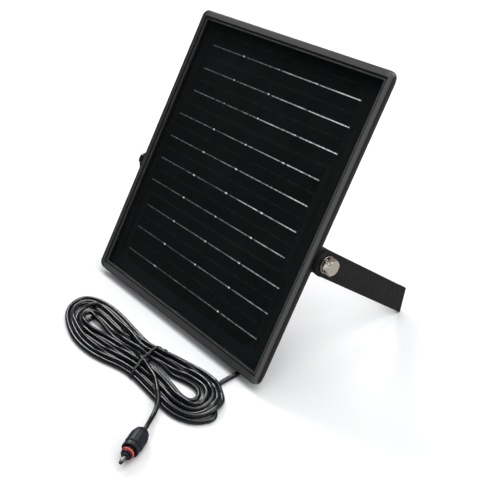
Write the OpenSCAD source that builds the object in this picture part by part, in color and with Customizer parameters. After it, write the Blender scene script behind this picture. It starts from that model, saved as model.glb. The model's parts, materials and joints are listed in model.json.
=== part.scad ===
// Solar panel unit of a fountain pump kit: framed panel, tilting bracket, coiled cable and waterproof plug.
// Origin: middle screw hole of the bracket's foot plate, on its outer face. +Z up, the panel faces -Y.

/* [Panel] */
// Width of the frame
panel_w = 188; // [180:1:200]
// Height of the frame, measured along the glass
panel_h = 214; // [205:1:230]
// Lean of the panel back from vertical, in degrees
lean = 31; // [20:1:45]
// Corner radius of the frame
corner_r = 5; // [3:0.5:8]
// Thickness of the flange seen from the side
flange_t = 3; // [2.5:0.25:4]
// Width of the frame from its edge to the glass
rim_w = 7; // [6:0.5:9]
// Width of the raised outer part of the rim
rim_top_w = 4.6; // [4:0.2:5]

/* [Laminate] */
// Thickness of the cover glass
glass_t = 2.5; // [2:0.1:3.2]
// Thickness of the gasket on the glass
gasket_t = 0.3; // [0.2:0.05:0.5]
// Thickness of the encapsulant that beds the cells
bed_t = 0.8; // [0.7:0.05:1.2]
// Thickness of the back sheet
backsheet_t = 0.25; // [0.2:0.05:0.4]
// Width of one cell strip, a fifth of a 182 mm wafer
cell_w = 36.4; // [30:0.1:37]
// Gap between neighbouring cells in a row
cell_gap = 0.6; // [0.5:0.1:1]
// Distance between ribbons on a cell
ribbon_pitch = 18.2; // [17:0.1:18.2]
// Width of a ribbon
ribbon_w = 1.0; // [0.6:0.1:1.5]
// Number of cells in each row
cell_columns = 4; // [2:1:4]

/* [Bracket] */
// Height of the pivot above the lower edge, along the panel
pivot_y = 89; // [80:1:100]
// Depth of the pivot behind the front of the frame
pivot_depth = 10; // [9.8:0.1:12]
// Width of the bracket strap
strap_w = 17.5; // [15:0.5:18]
// Thickness of the bracket strap
strap_t = 2.5; // [2:0.25:3]
// Slope of the arms below horizontal, in degrees
arm_slope = 38; // [30:1:42]
// Slope of the foot plate from vertical, in degrees
foot_slope = 11.6; // [0:0.2:16]
// Distance from the pivot to the outer face of the foot plate
foot_reach = 98.6; // [95:0.2:104]
// Width of the foot plate between the arms
foot_w = 13; // [11:0.5:14]
// Diameter of the two outer screw holes in the foot plate
foot_hole_d = 5.3; // [4.5:0.1:5.5]
// Diameter of the middle hole in the foot plate
foot_mid_d = 6.4; // [5.5:0.1:6.6]
// Distance between the two outer screw holes
foot_hole_pitch = 80; // [50:5:120]

/* [Fasteners] */
// Thread diameter of the pivot bolts
bolt_d = 6; // [5:0.5:6]
// Hexagon head of the pivot bolts across flats
head_af = 10; // [9:0.5:11]
// Height of the bolt head
head_h = 4; // [3.5:0.1:4.5]
// Thickness of the flat and spring washers
washer_t = 1.4; // [1:0.1:1.6]

/* [Cable and plug] */
// Diameter of the cable
cable_d = 2.8; // [2.4:0.1:2.8]
// Number of turns in the coil
coil_turns = 4.8; // [1.8:1:4.8]
// Outer diameter of the plug's locking collar
collar_d = 11.2; // [10.6:0.2:12]
// Diameter of the contact pin
pin_d = 2.5; // [2:0.1:2.6]

/* [Hidden] */

$fn = 48;
eps = 0.01;

// Rear feet hold the frame clear of the ground so that the cable can pass under it
foot_y = 5;
foot_depth = 17.6;
lift = foot_depth * sin(lean) - foot_y * cos(lean);

// Layers, as depths behind the front of the frame
lip_top = 0.9;
lip_bottom = 1.7;
glass_z = lip_bottom + gasket_t;
bed_z = glass_z + glass_t;
sheet_z = bed_z + bed_t;
pocket_z = sheet_z + backsheet_t + 0.05;
plate_z = pocket_z + 0.05;
plate_t = 2;
plate_back = plate_z + plate_t;

// Plan sizes of the laminate
skirt_in = 3;
glass_in = 5.5;
glass_w = panel_w - 2 * glass_in;
glass_h = panel_h - 2 * glass_in;

// Rows of cells: lower edge, number of ribbons, sideways shift and current direction
row_3_h = 3 * ribbon_pitch;
row_4_h = 4 * ribbon_pitch;
row_y = [15.5, 15.5 + row_3_h + 0.8, 15.5 + row_3_h + row_4_h + 2.6];
row_n = [3, 4, 3];
row_dx = [0.8, -2.6, 0];
row_dir = [1, -1, 1];
row_len = cell_columns * cell_w + (cell_columns - 1) * cell_gap;
cell_t = 0.2;
strip_t = 0.15;
bed_floor = 0.2;
back_strip_z = sheet_z - bed_floor;
cell_z = back_strip_z - strip_t;
front_strip_z = cell_z - cell_t;
bus_w = 3;

// Electronics housing on the back
hous_w = 76;
hous_h = 56;
hous_y = 85;
hous_wall = 2.4;
hous_back = 21;
lid_t = 2;
gland_x = 22;
gland_z = 14.5;
hous_low = hous_y - hous_h / 2;
lid_screw_x = hous_w / 2 - 4.5;
lid_screw_y = hous_h / 2 - 4.5;
rib_depth = 10.5;

// Bracket
arm_in = panel_w / 2 + 0.55;
arm_out = arm_in + strap_t;
bend_r = 4;
pivot_world_z = lift + pivot_y * cos(lean) - pivot_depth * sin(lean);
pivot_world_y = pivot_y * sin(lean) + pivot_depth * cos(lean);
foot_low = -(pivot_world_z - foot_reach * sin(foot_slope)) / cos(foot_slope);
skew = arm_slope - foot_slope;
bend_start = foot_reach - bend_r;
strap_half = strap_w / 2;
arm_end_r = strap_half + 0.3;
strap_over = strap_half + 0.05;
bush_r = 4;
running = 0.05;

// Ground point under the middle of the lower front edge, seen from the origin
foot_hole_z = foot_low + foot_w / 2;
ground = [
    0,
    -pivot_world_y - foot_reach * cos(foot_slope) - foot_hole_z * sin(foot_slope),
    -pivot_world_z + foot_reach * sin(foot_slope) - foot_hole_z * cos(foot_slope)
];

// Bolt stack outside the arm
stack_x = arm_out + 0.05;
head_x = stack_x + 2 * washer_t + 0.05;
bolt_tip_x = panel_w / 2 - 8.5;
insert_in_x = panel_w / 2 - 9;
insert_out_x = panel_w / 2 - 0.2;
insert_r = 3.7;

// Cable coil on the ground
coil_x = 24.3;
coil_y = -37;
coil_turn = 4.1;
coil_z = 0.75 + cable_d / 2;
coil_left = 86;
coil_right = 71;
coil_side = 27;
coil_step = 3.45;
waist_half = 15.75;
waist_step = 3.0;
coil_start = 25;
tie_w = 2.4;
tie_t = 0.6;

// Plug on the ground: place, heading and stations along its axis
plug_x = 80.6;
plug_y = -76.3;
plug_turn = -62.7;
collar_start = 0;
collar_grip = 4;
collar_neck = 12.6;
collar_end = 16;
nose_end = 21.6;
pin_end = 25.6;
tip_end = 27.2;
core_r = 3.6;

// O-ring: place along the plug, inner radius and thickness
ring_x = collar_end + 2.2;
ring_r = 2.5;
ring_t = 1.5;

pin_root_r = pin_d / 2 - 0.25;
tip_r = pin_d / 2 - 0.18;

// ---------- placing ----------

// From panel coordinates (right, up along the glass, out of the glass) to the ground frame
module on_panel() {
    translate(ground + [0, 0, lift]) rotate([90 - lean, 0, 0]) children();
}

function to_world(p) = ground + [
    p[0],
    p[1] * sin(lean) - p[2] * cos(lean),
    p[1] * cos(lean) + p[2] * sin(lean) + lift
];

// A rounded plate centred in x, between two depths behind the front
module slab(w, h, r, z_front, z_back, cy = panel_h / 2) {
    translate([0, cy, -z_back]) linear_extrude(z_back - z_front) rounded(w, h, r);
}

module rounded(w, h, r) {
    union() {
        square([w - 2 * r, h], center = true);
        square([w, h - 2 * r], center = true);
        for (sx = [-1, 1], sy = [-1, 1])
            translate([sx * (w / 2 - r), sy * (h / 2 - r)]) circle(r);
    }
}

// A rod, tube or prism along X between two stations, seated on the pivot axis by the caller
module rod_x(x0, x1, r, fn = 48) {
    translate([x0, 0, 0]) rotate([0, 90, 0]) cylinder(r = r, h = x1 - x0, $fn = fn);
}

module at_pivot() {
    on_panel() translate([0, pivot_y, -pivot_depth]) children();
}

module both_sides() {
    children();
    mirror([1, 0, 0]) children();
}

// ---------- frame and shell ----------

hook_y = [30, 62, 152, 184];
hook_x = panel_w / 2 - 4.6;

module front_frame() {
    color("#2b2d2e") on_panel() {
        difference() {
            union() {
                hull() {
                    slab(panel_w, panel_h, corner_r, 0.9, flange_t);
                    slab(panel_w - 1.6, panel_h - 1.6, corner_r - 0.8, 0, flange_t);
                }
                slab(panel_w - 2 * skirt_in, panel_h - 2 * skirt_in, 3, flange_t - eps, pocket_z);
            }
            slab(glass_w + 0.5, glass_h + 0.5, 1.5, lip_bottom, pocket_z + 1);
            slab(panel_w - 2 * rim_w, panel_h - 2 * rim_w, 1.5, -1, lip_bottom + 1);
            slab(panel_w - 2 * rim_top_w, panel_h - 2 * rim_top_w, 2, -1, lip_top);
        }
        for (s = [-1, 1], y = hook_y) snap_hook(s, y);
    }
}

// A hook that reaches through a slot of the rear plate and catches in a recess of its back
module snap_hook(s, y) {
    translate([s * hook_x, y, 0.05 - plate_back]) {
        translate([-0.6, -4, 0]) cube([1.2, 8, plate_back - pocket_z + 0.15]);
        translate([s > 0 ? 0.6 - eps : -1.2, -4, 0]) cube([0.6 + eps, 8, hook_catch]);
    }
}
hook_catch = 1.1;

module hook_slot(s, y) {
    translate([s * hook_x, y - 4.3, -plate_back - 1]) {
        translate([-0.8, 0, 0]) cube([1.6, 8.6, plate_t + 2]);
        translate([s > 0 ? -0.8 : -1.4, 0, 0]) cube([2.2, 8.6, hook_catch + 1.15]);
    }
}

// Outline of an ear seen along the pivot axis: round end, narrower root, a fillet at the flange
module ear_outline() {
    circle(strap_half);
    translate([-ear_low, 0]) square([ear_low + strap_half - 0.05, ear_root]);
    difference() {
        translate([-ear_low - ear_fillet, ear_root - ear_fillet])
            square([ear_fillet + 1, ear_fillet]);
        translate([-ear_low - ear_fillet, ear_root - ear_fillet]) circle(ear_fillet);
    }
}
ear_root = pivot_depth - flange_t - 0.05;
ear_low = 7.4;
ear_fillet = 2.6;
ear_w = 18;

module ears() {
    both_sides() difference() {
        translate([panel_w / 2 - ear_w, pivot_y, -pivot_depth])
            rotate([90, 0, 90]) linear_extrude(ear_w) ear_outline();
        slab(panel_w - 2 * skirt_in + 0.1, panel_h, 1, 0, plate_z);
        slab(panel_w + 2, panel_h, 1, 0, flange_t + 0.05);
    }
}

module rear_shell() {
    color("#222426") on_panel() difference() {
        union() {
            slab(panel_w - 2 * skirt_in, panel_h - 2 * skirt_in, 3, plate_z, plate_back);
            ears();
            stiffening_ribs();
            slab(hous_w, hous_h, 4, plate_back - eps, hous_back, hous_y);
            for (s = [-1, 1]) rear_foot(s * 62);
        }
        housing_hollow();
        seal_ring(0.1);
        wire_channels();
        for (s = [-1, 1], y = hook_y) hook_slot(s, y);
        both_sides() translate([0, pivot_y, -pivot_depth]) {
            rod_x(insert_in_x, panel_w, insert_r + 0.02);
            rod_x(bolt_tip_x - 3, panel_w, bolt_d / 2 + 0.3);
        }
        translate([gland_x, hous_low - 1, -gland_z]) rotate([-90, 0, 0]) cylinder(r = 4.05, h = 6);
        for (sx = [-1, 1], sy = [-1, 1])
            translate([sx * lid_screw_x, hous_y + sy * lid_screw_y, -hous_back - 1])
                cylinder(r = 1.3, h = 11);
    }
}

module rear_foot(x) {
    translate([x - 6, foot_y, -foot_depth]) cube([12, 8, foot_depth - plate_back + eps]);
}

module stiffening_ribs() {
    difference() {
        slab(panel_w - 16, panel_h - 16, 4, plate_back - eps, rib_depth);
        slab(panel_w - 20, panel_h - 20, 3, plate_back - 1, rib_depth + 1);
    }
    for (x = [-46, 46]) rib(x, panel_h / 2, 2, panel_h - 18);
    rib(0, (hous_y + hous_h / 2 + panel_h - 9) / 2, 2, panel_h - 9 - hous_y - hous_h / 2);
    for (y = [48, 122, 166]) rib(0, y, panel_w - 18, 2);
}

module rib(x, y, w, h) {
    translate([x - w / 2, y - h / 2, -rib_depth]) cube([w, h, rib_depth - plate_back + eps]);
}

// Space for the electronics, leaving a boss in each corner for the lid screws
module housing_hollow() {
    difference() {
        slab(hous_w - 2 * hous_wall, hous_h - 2 * hous_wall, 2, plate_back, hous_back + 1, hous_y);
        for (sx = [-1, 1], sy = [-1, 1])
            translate([sx * lid_screw_x, hous_y + sy * lid_screw_y, -hous_back - 2])
                cylinder(r = 3.6, h = hous_back);
        for (sx = [-1, 1])
            translate([sx * 20, hous_y + 8, -plate_back - 4]) cylinder(r = 2.4, h = 5);
    }
}

// Seal round the rear plate, or with some extra the groove it lies in
module seal_ring(extra) {
    difference() {
        slab(panel_w - 2 * skirt_in - 0.8 + extra, panel_h - 2 * skirt_in - 0.8 + extra, 2.6,
            plate_z - extra, plate_z + 0.7 + extra / 2);
        slab(panel_w - 2 * skirt_in - 2.4 - extra, panel_h - 2 * skirt_in - 2.4 - extra, 2,
            plate_z - 1, plate_z + 2);
    }
}

module rear_seal() {
    color("#8d8f90") on_panel() difference() {
        seal_ring(0);
        for (s = [-1, 1], y = hook_y)
            translate([s * hook_x - 1.6, y - 4.4, -plate_z - 3]) cube([3.2, 8.8, 6]);
        both_sides() translate([0, pivot_y, -pivot_depth]) rod_x(80, panel_w, insert_r + 0.4);
    }
}

wire_y = [hous_y + 16, hous_y - 16];
wire_end_y = [row_y[2] + row_3_h / 2, row_y[0] + row_3_h / 2];
wire_x = row_len / 2 + 3.5;
wire_r = 0.6;
wire_z = plate_z + 0.8;

// Channels in the front of the rear plate for the two string leads
module wire_channels() {
    for (i = [0, 1]) {
        s = i == 0 ? -1 : 1;
        y0 = min(wire_y[i], wire_end_y[i]) - 1;
        y1 = max(wire_y[i], wire_end_y[i]) + 1;
        translate([s * wire_x - 1, y0, -plate_z - 1.5]) cube([2, y1 - y0, 2]);
        translate([s > 0 ? 29 : -wire_x - 1, wire_y[i] - 1, -plate_z - 1.5])
            cube([wire_x + 1 - 29, 2, 2]);
        translate([s * 30, wire_y[i], -plate_back - 1]) cylinder(r = 1.2, h = 4);
    }
}

module lead_wires() {
    for (i = [0, 1]) {
        s = i == 0 ? -1 : 1;
        dy = wire_end_y[i] - wire_y[i];
        color(i == 0 ? "#202020" : "#a82a20") on_panel() union() {
            translate([s * wire_x, wire_y[i], -wire_z]) rotate([dy > 0 ? -90 : 90, 0, 0])
                cylinder(r = wire_r, h = abs(dy));
            translate([s * wire_x, wire_y[i], -wire_z]) sphere(wire_r);
            translate([s * wire_x, wire_y[i], -wire_z]) rotate([0, -s * 90, 0])
                cylinder(r = wire_r, h = wire_x - 30);
            translate([s * 30, wire_y[i], -wire_z]) sphere(wire_r);
            translate([s * 30, wire_y[i], -board_z + 0.1]) cylinder(r = wire_r, h = board_z - 0.1 - wire_z);
        }
    }
}

// ---------- laminate ----------

module glass_gasket() {
    color("#1c1d1e") on_panel() difference() {
        slab(glass_w, glass_h, 1.5, lip_bottom, glass_z);
        slab(panel_w - 2 * rim_w + 0.6, panel_h - 2 * rim_w + 0.6, 1, lip_bottom - 1, glass_z + 1);
    }
}

module cover_glass() {
    color("#9fc4cc", 0.35) on_panel() slab(glass_w, glass_h, 1.4, glass_z, bed_z);
}

module encapsulant() {
    color("#3a3f44") on_panel() difference() {
        slab(glass_w - 0.6, glass_h - 0.6, 1, bed_z, sheet_z);
        for (i = [0:2])
            translate([row_dx[i] - row_len / 2 - bus_w - 1.6, row_y[i] - 0.15, -back_strip_z])
                cube([row_len + 2 * bus_w + 3.2, row_n[i] * ribbon_pitch + 0.3, 5]);
        bus_windows();
        for (i = [0, 1])
            translate([(i == 0 ? -1 : 1) * wire_x, wire_end_y[i], -sheet_z - 1])
                cylinder(r = 0.75, h = 3);
    }
}

module back_sheet() {
    color("#d8dadb") on_panel() difference() {
        slab(glass_w - 0.6, glass_h - 0.6, 1, sheet_z, sheet_z + backsheet_t);
        for (i = [0, 1])
            translate([(i == 0 ? -1 : 1) * wire_x, wire_end_y[i], -sheet_z - 1])
                cylinder(r = 0.75, h = 3);
    }
}

// Left edge of a cell, counted along the row from the left
function cell_x(i, c) = row_dx[i] - row_len / 2 + c * (cell_w + cell_gap);

module solar_cells() {
    color("#15171c") on_panel()
        for (i = [0:2], c = [0:cell_columns - 1])
            translate([cell_x(i, c), row_y[i], -cell_z]) linear_extrude(cell_t) cell_outline(i, c);
}

// Cells at the four corners of the array keep the clipped corner of the wafer
module cell_outline(i, c) {
    h = row_n[i] * ribbon_pitch;
    clip = 7.5;
    bottom = i == 0;
    top = i == 2;
    left = c == 0;
    right = c == cell_columns - 1;
    difference() {
        square([cell_w, h]);
        if (bottom && left) polygon([[-1, -1], [clip, -1], [-1, clip]]);
        if (bottom && right) polygon([[cell_w + 1, -1], [cell_w - clip, -1], [cell_w + 1, clip]]);
        if (top && left) polygon([[-1, h + 1], [clip, h + 1], [-1, h - clip]]);
        if (top && right) polygon([[cell_w + 1, h + 1], [cell_w - clip, h + 1], [cell_w + 1, h - clip]]);
    }
}

// One ribbon joins the front of a cell to the back of the next one along the current
module ribbon_profile(first, last) {
    gap_x = cell_w + cell_gap / 2;
    front_z = strip_t + cell_t;
    if (!last) polygon([
        [0.9, front_z], [gap_x - strip_t / 2, front_z],
        [gap_x - strip_t / 2, 0], [gap_x + cell_w - 3, 0],
        [gap_x + cell_w - 3, strip_t], [gap_x + strip_t / 2, strip_t],
        [gap_x + strip_t / 2, front_z + strip_t], [0.9, front_z + strip_t]
    ]);
    if (last) translate([0.9, front_z]) square([cell_w - 0.9 + 1.5, strip_t]);
    if (first) translate([-1.5, 0]) square([cell_w - 2, strip_t]);
}

module cell_ribbons() {
    color("#c9ccd0") on_panel()
        for (i = [0:2], n = [0:row_n[i] - 1], c = [0:cell_columns - 1])
            translate([row_dx[i], row_y[i] + (n + 0.5) * ribbon_pitch, -back_strip_z])
                mirror([row_dir[i] < 0 ? 1 : 0, 0, 0])
                    translate([-row_len / 2 + c * (cell_w + cell_gap), ribbon_w / 2, 0])
                        rotate([90, 0, 0]) linear_extrude(ribbon_w)
                            ribbon_profile(c == 0, c == cell_columns - 1);
}

// Side strips join the rows in a zigzag and end in the two terminals
module bus_plan(grow) {
    x = row_len / 2 + 1.5;
    top_y = row_y[2] + row_3_h / 2;
    mid_y = row_y[1] + row_4_h / 2;
    low_y = row_y[0] + row_3_h / 2;
    half = 24;
    bus_strip(x + row_dx[2], mid_y - half, top_y + half, grow);
    bus_strip(-x + row_dx[1] - bus_w, low_y - half, mid_y + half, grow);
    bus_strip(-x + row_dx[2] - bus_w, top_y - half, top_y + half, grow);
    bus_strip(x + row_dx[0], low_y - half, low_y + half, grow);
}

module bus_strip(x, y0, y1, grow) {
    translate([x - grow, y0 - grow]) square([bus_w + 2 * grow, y1 - y0 + 2 * grow]);
}

module bus_ribbons() {
    color("#b9bcc0") on_panel()
        translate([0, 0, -back_strip_z]) linear_extrude(cell_t + strip_t) bus_plan(0);
}

module bus_windows() {
    translate([0, 0, -back_strip_z]) linear_extrude(5) bus_plan(0.2);
}

// ---------- electronics ----------

board_z = plate_back + 4.05;
board_t = 1.6;

module circuit_board() {
    color("#1f5a38") on_panel() difference() {
        translate([-32, hous_y - 18, -board_z - board_t]) cube([64, 34, board_t]);
        for (sx = [-1, 1])
            translate([sx * 20, hous_y + 8, -board_z - 2]) cylinder(r = 1.2, h = 4);
        translate([gland_x - 6.5, hous_y - 19, -board_z - 3]) cube([13, 7, 6]);
    }
}

// Axial diode lying on the board, with its two legs
module blocking_diode() {
    color("#161616") on_panel() translate([-12, hous_y - 4, -board_z - board_t - 2]) union() {
        rod_x(0, 9, 1.9);
        rod_x(-5, 14, 0.45);
        for (x = [-4.6, 13.6]) translate([x, 0, 0]) cylinder(r = 0.4, h = 1.95);
    }
}

module lid_gasket() {
    color("#2c2c2c") on_panel() difference() {
        slab(hous_w - 0.6, hous_h - 0.6, 4, hous_back, hous_back + 0.6, hous_y);
        slab(hous_w - 2 * hous_wall - 0.4, hous_h - 2 * hous_wall - 0.4, 2,
            hous_back - 1, hous_back + 2, hous_y);
        lid_screw_holes(1.9);
    }
}

module lid_screw_holes(r) {
    for (sx = [-1, 1], sy = [-1, 1])
        translate([sx * lid_screw_x, hous_y + sy * lid_screw_y, -hous_back - 8])
            cylinder(r = r, h = 12);
}

lid_z = hous_back + 0.6;

module housing_lid() {
    color("#26282a") on_panel() difference() {
        slab(hous_w, hous_h, 4, lid_z, lid_z + lid_t, hous_y);
        lid_screw_holes(1.7);
    }
}

module lid_screws() {
    color("#b4b7bb") on_panel()
        for (sx = [-1, 1], sy = [-1, 1])
            translate([sx * lid_screw_x, hous_y + sy * lid_screw_y, -lid_z - lid_t]) difference() {
                union() {
                    translate([0, 0, -1.8]) cylinder(r = 2.8, h = 1.8);
                    translate([0, 0, -0.1]) cylinder(r = 1.25, h = 9.5);
                }
                for (a = [0, 90]) rotate(a) translate([-1.8, -0.35, -2]) cube([3.6, 0.7, 1.2]);
            }
}

// ---------- cable entry ----------

module at_gland() {
    on_panel() translate([gland_x, hous_low, -gland_z]) rotate([90, 0, 0]) children();
}

module cable_gland() {
    color("#1b1c1d") at_gland() difference() {
        union() {
            translate([0, 0, 0.05]) cylinder(r = 6, h = 4, $fn = 6);
            translate([0, 0, 4]) cylinder(r = 5, h = 3.2);
            translate([0, 0, -6]) cylinder(r = 4, h = 6.1);
        }
        translate([0, 0, 1]) cylinder(r = 2.7, h = 7);
        translate([0, 0, -7]) cylinder(r = cable_d / 2 + 0.1, h = 9);
    }
}

module gland_locknut() {
    color("#2a2b2c") at_gland() translate([0, 0, -5.4]) difference() {
        cylinder(r = 6, h = 2.9, $fn = 6);
        translate([0, 0, -1]) cylinder(r = 4.03, h = 5);
    }
}

module gland_seal() {
    color("#303132") at_gland() translate([0, 0, 1.05]) difference() {
        cylinder(r = 2.65, h = 5.5);
        translate([0, 0, -1]) cylinder(r = cable_d / 2 + 0.05, h = 8);
    }
}

// ---------- cable ----------

// Smooth curve through a list of points
function curve_point(p, i, t) =
    let (a = p[max(i - 1, 0)], b = p[i], c = p[i + 1], d = p[min(i + 2, len(p) - 1)])
    0.5 * (2 * b + (c - a) * t + (2 * a - 5 * b + 4 * c - d) * t * t
        + (3 * b - a - 3 * c + d) * t * t * t);

function curve(p, n) = [
    for (i = [0:len(p) - 2], k = [0:n - 1]) curve_point(p, i, k / n)
];

function ease(t) = let (c = min(1, max(0, t))) c * c * (3 - 2 * c);

// Point of the coil after a number of turns: nested ellipses drawn in to a narrow waist
function coil_point(t) =
    let (
        a = coil_start - 360 * t,
        c = cos(a),
        s = abs(sin(a)),
        w = ease((s - 0.72) / 0.28),
        along = ((c > 0 ? coil_right : coil_left) - coil_step * t) * c,
        side = (coil_side - coil_step * t) * s * (1 - w) + (waist_half - waist_step * t) * w
    )
    coil_place([along, (sin(a) >= 0 ? 1 : -1) * side, coil_z]);

function coil_place(p) = ground + [
    coil_x + p[0] * cos(coil_turn) - p[1] * sin(coil_turn),
    coil_y + p[0] * sin(coil_turn) + p[1] * cos(coil_turn),
    p[2]
];

function plug_point(x) =
    ground + [plug_x + x * cos(plug_turn), plug_y + x * sin(plug_turn), collar_d / 2];

coil_steps = 38;
coil_count = round(coil_turns * coil_steps);

// Centre line from the circuit board, down the back, under the frame, round the coil to the plug
panel_run = [
    to_world([gland_x, hous_low + 9, -gland_z]),
    to_world([gland_x, hous_low + 2, -gland_z]),
    to_world([gland_x, hous_low - 7.5, -gland_z]),
    to_world([gland_x, hous_low - 10, -gland_z]),
    to_world([gland_x + 9, hous_low - 21, -gland_z]),
    to_world([48, 25, -13.6]),
    to_world([67.5, 17, -13.2]),
    to_world([73.6, 9.5, -13]),
    ground + [73.7, 10, 1.7],
    ground + [73.3, 2, 0.1 + cable_d / 2],
    ground + [74, -7, 0.2 + cable_d / 2]
];
coil_run = [for (k = [0:coil_count]) coil_point(k / coil_steps)];
plug_run = [
    coil_point(coil_turns),
    coil_place([0, 0.9, coil_z]),
    coil_place([4, 0.5, coil_z + 0.3]),
    coil_place([9, -1, coil_z + 2.2]),
    coil_place([14, -3.9, coil_z + 3.1]),
    coil_place([21.5, -8.8, coil_z + 3.4]),
    coil_place([31, -15.6, coil_z + 3.5]),
    coil_place([42.5, -26.2, 5.4]),
    plug_point(-7),
    plug_point(-1),
    plug_point(2.4)
];
cable_path = concat(
    curve(concat(panel_run, [coil_run[0], coil_run[1]]), 5),
    [for (k = [1:coil_count - 1]) coil_run[k]],
    curve(plug_run, 5),
    [plug_point(2.4)]
);

// Tube swept along a path, closed at both ends
module swept(path, r, sides) {
    n = len(path);
    rings = [for (i = [0:n - 1])
        let (
            t = path[min(i + 1, n - 1)] - path[max(i - 1, 0)],
            side = cross(t, [0, 0, 1]) / norm(cross(t, [0, 0, 1])),
            up = cross(side, t) / norm(t)
        )
        for (k = [0:sides - 1])
            path[i] + r * (cos(360 * (k + 0.5) / sides) * side + sin(360 * (k + 0.5) / sides) * up)
    ];
    quads = [for (i = [0:n - 2], k = [0:sides - 1])
        [i * sides + k, i * sides + (k + 1) % sides, (i + 1) * sides + (k + 1) % sides, (i + 1) * sides + k]
    ];
    start_cap = [for (k = [0:sides - 1]) sides - 1 - k];
    end_cap = [for (k = [0:sides - 1]) (n - 1) * sides + k];
    polyhedron(rings, concat(quads, [start_cap, end_cap]), convexity = 10);
}

module panel_cable() {
    color("#232527") swept(cable_path, cable_d / 2, 8);
}

module cable_tie() {
    half = waist_half + 0.1;
    color("#151515") translate(coil_place([0, 0, 0])) rotate([0, 0, coil_turn])
        translate([-tie_w / 2, 0, coil_z]) rotate([90, 0, 90]) linear_extrude(tie_w) difference() {
            rounded(2 * half + cable_d + 2 * tie_t, cable_d + 0.1 + 2 * tie_t, 1.5);
            rounded(2 * half + cable_d, cable_d + 0.1, 1);
        }
}

// ---------- pivot hardware ----------

module pivot_inserts() {
    color("#b08d3e") at_pivot() both_sides() difference() {
        rod_x(insert_in_x + 0.05, insert_out_x, insert_r);
        rod_x(insert_in_x - 1, insert_out_x + 1, bolt_d / 2 + running);
    }
}

module pivot_bushes() {
    color("#d9d5c8") at_pivot() both_sides() difference() {
        union() {
            rod_x(panel_w / 2 + 0.02, arm_in - 0.03, strap_half - 1.2);
            rod_x(panel_w / 2 + 0.1, arm_out - 0.05, bush_r);
        }
        rod_x(panel_w / 2 - 1, arm_out + 1, bolt_d / 2 + 0.12);
    }
}

module bracket_frame() {
    translate(ground + [0, pivot_world_y, pivot_world_z]) rotate([-foot_slope, 0, 0]) children();
}

// Flat arm: its round end is a shade wider than the strap, the edges are straight, and it is cut
// on the slant where the bend starts. Its upper edge is left a touch proud, to be trimmed with the foot
module arm_plan() {
    c = cos(skew);
    s = sin(skew);
    top_z = (strap_over - bend_start * s) / c;
    difference() {
        union() {
            circle(arm_end_r, $fn = 64);
            polygon([
                [s * strap_over, c * strap_over], [bend_start + eps, top_z],
                [bend_start + eps, foot_low], [-s * strap_half, -c * strap_half]
            ]);
        }
        circle(bush_r + running, $fn = 64);
    }
}

// Foot plate with its two bends, seen from above
module foot_plan() {
    translate([-arm_out + bend_r, foot_reach - strap_t]) square([2 * arm_out - 2 * bend_r, strap_t]);
    for (s = [-1, 1]) translate([s * (arm_out - bend_r), bend_start]) difference() {
        circle(bend_r);
        circle(bend_r - strap_t);
        translate([-2 * bend_r, -2 * bend_r]) square([4 * bend_r, 2 * bend_r]);
        translate([s > 0 ? -2 * bend_r : 0, -bend_r]) square([2 * bend_r, 3 * bend_r]);
    }
}

module tilt_bracket() {
    arm_high = (strap_over - bend_start * sin(skew)) / cos(skew);
    color("#3c3e40") bracket_frame() difference() {
        union() {
            both_sides() translate([arm_in, 0, 0]) rotate([90, 0, 90]) linear_extrude(strap_t) arm_plan();
            translate([0, 0, foot_low]) linear_extrude(arm_high - foot_low) foot_plan();
        }
        translate([-arm_out + bend_r + 2, foot_reach - 2 * strap_t, foot_low + foot_w])
            cube([2 * (arm_out - bend_r - 2), 3 * strap_t, 20]);
        rotate([-skew, 0, 0]) translate([-arm_out - 1, -3, strap_half])
            cube([2 * arm_out + 2, 1.5 * foot_reach, strap_w]);
        for (x = [-foot_hole_pitch / 2, foot_hole_pitch / 2]) foot_hole(x, foot_hole_d);
        foot_hole(0, foot_mid_d);
    }
}

module foot_hole(x, d) {
    translate([x, foot_reach - 3 * strap_t, foot_hole_z]) rotate([-90, 0, 0])
        cylinder(d = d, h = 4 * strap_t);
}

module flat_washers() {
    color("#c4c6c8") at_pivot() both_sides() difference() {
        rod_x(stack_x, stack_x + washer_t, 6);
        rod_x(stack_x - 1, stack_x + washer_t + 1, bolt_d / 2 + 0.2);
    }
}

// Spring washers are split rings
module spring_washers() {
    color("#b9bbbd") at_pivot() both_sides() difference() {
        rod_x(stack_x + washer_t, stack_x + 2 * washer_t, 5.4);
        rod_x(stack_x, stack_x + 3 * washer_t, bolt_d / 2 + 0.15);
        rotate([35, 0, 0]) translate([stack_x, 0, -0.7]) cube([3 * washer_t, 9, 1.4]);
    }
}

module pivot_bolt() {
    difference() {
        union() {
            intersection() {
                rotate([30, 0, 0]) rod_x(head_x, head_x + head_h, head_af / sqrt(3), 6);
                translate([head_x + head_h, 0, 0]) rotate([0, -90, 0])
                    cylinder(r1 = head_af / 2 + 0.1, r2 = head_af / 2 + 8.2, h = 8.1);
            }
            rod_x(bolt_tip_x, head_x + eps, bolt_d / 2);
        }
    }
}

module pivot_bolt_left() {
    color("#cfcdc8") at_pivot() mirror([1, 0, 0]) pivot_bolt();
}

module pivot_bolt_right() {
    color("#cfcdc8") at_pivot() pivot_bolt();
}

// ---------- plug ----------

module at_plug() {
    translate(ground + [plug_x, plug_y, collar_d / 2]) rotate([0, 0, plug_turn]) children();
}

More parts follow.
